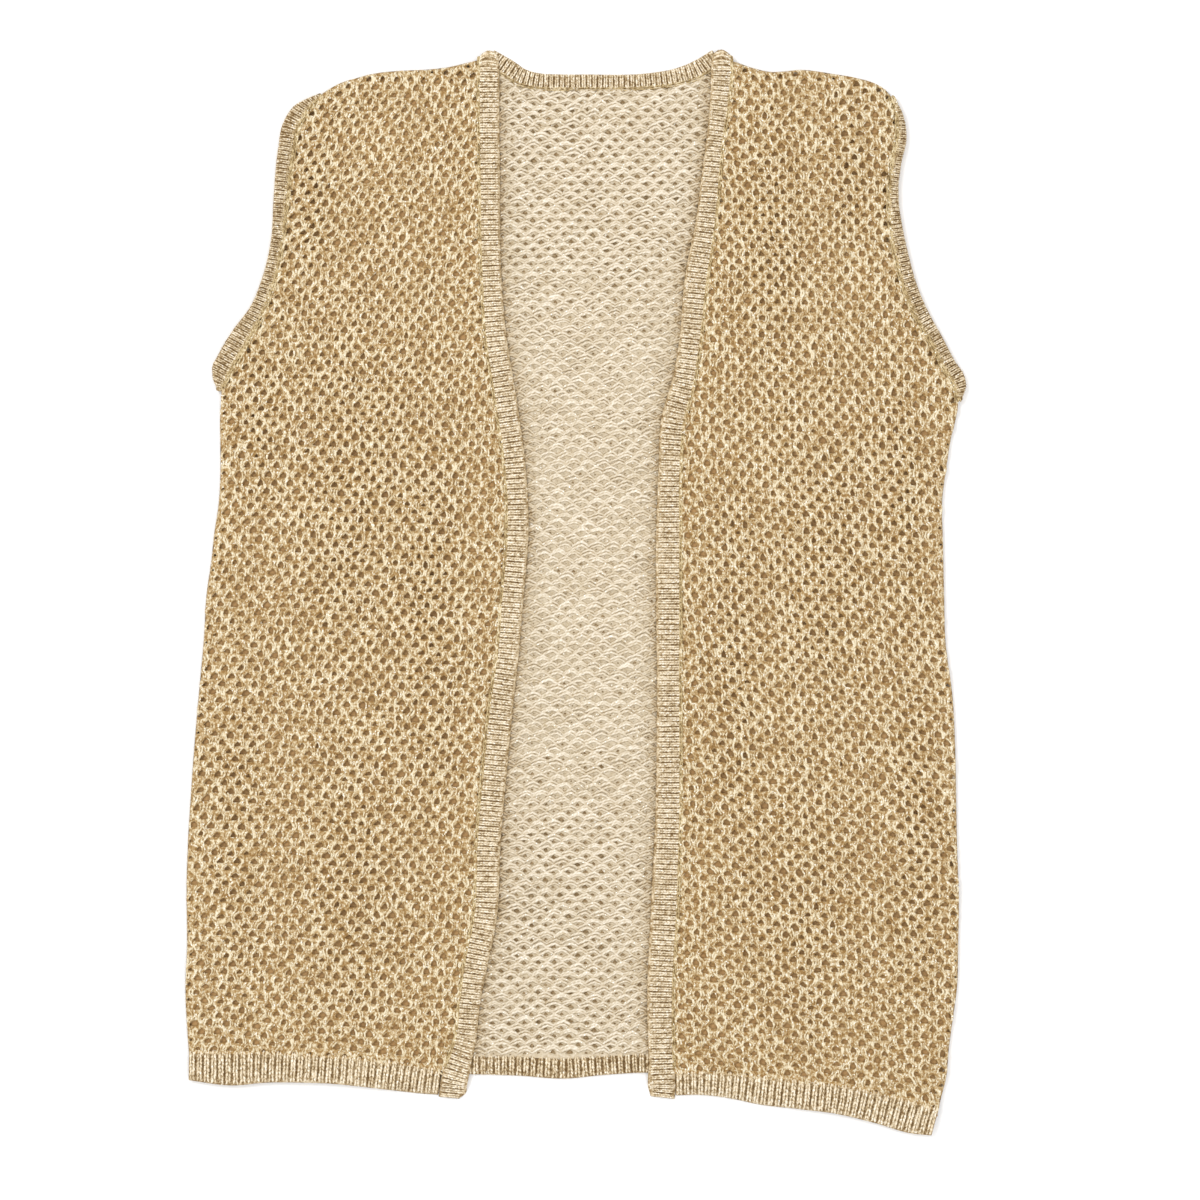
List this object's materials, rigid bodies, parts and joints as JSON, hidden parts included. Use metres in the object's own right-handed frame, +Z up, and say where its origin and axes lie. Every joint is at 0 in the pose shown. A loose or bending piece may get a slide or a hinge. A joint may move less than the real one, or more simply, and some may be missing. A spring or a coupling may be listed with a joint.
{
  "type": "cardigan",
  "caption": "Sleeveless open-front long cardigan in open honeycomb knit with ribbed bands and hems, laid flat with its fronts parted.",
  "frame": {"origin": "on the table, under the middle of the garment's box", "axes": "+X to the wearer's left, +Y from the hems to the neck, +Z up off the table"},
  "size_m": [0.5186, 0.7214, 0.0087],
  "materials": {
    "mesh_knit": "open honeycomb knit, sand yarn with a fine metallic thread, right side",
    "mesh_knit_inside": "wrong side of the same knit, paler",
    "rib_knit": "fine double rib with a fine metallic thread"
  },
  "bodies": {
    "root": {"back_panel": "mesh_knit_inside", "right_front_panel": "mesh_knit", "left_front_panel": "mesh_knit", "right_front_band": "rib_knit", "left_front_band": "rib_knit", "back_neck_band": "rib_knit", "right_armhole_band": "rib_knit", "left_armhole_band": "rib_knit", "right_front_hem": "rib_knit", "left_front_hem": "rib_knit", "back_hem": "rib_knit"}
  },
  "joints": []
}
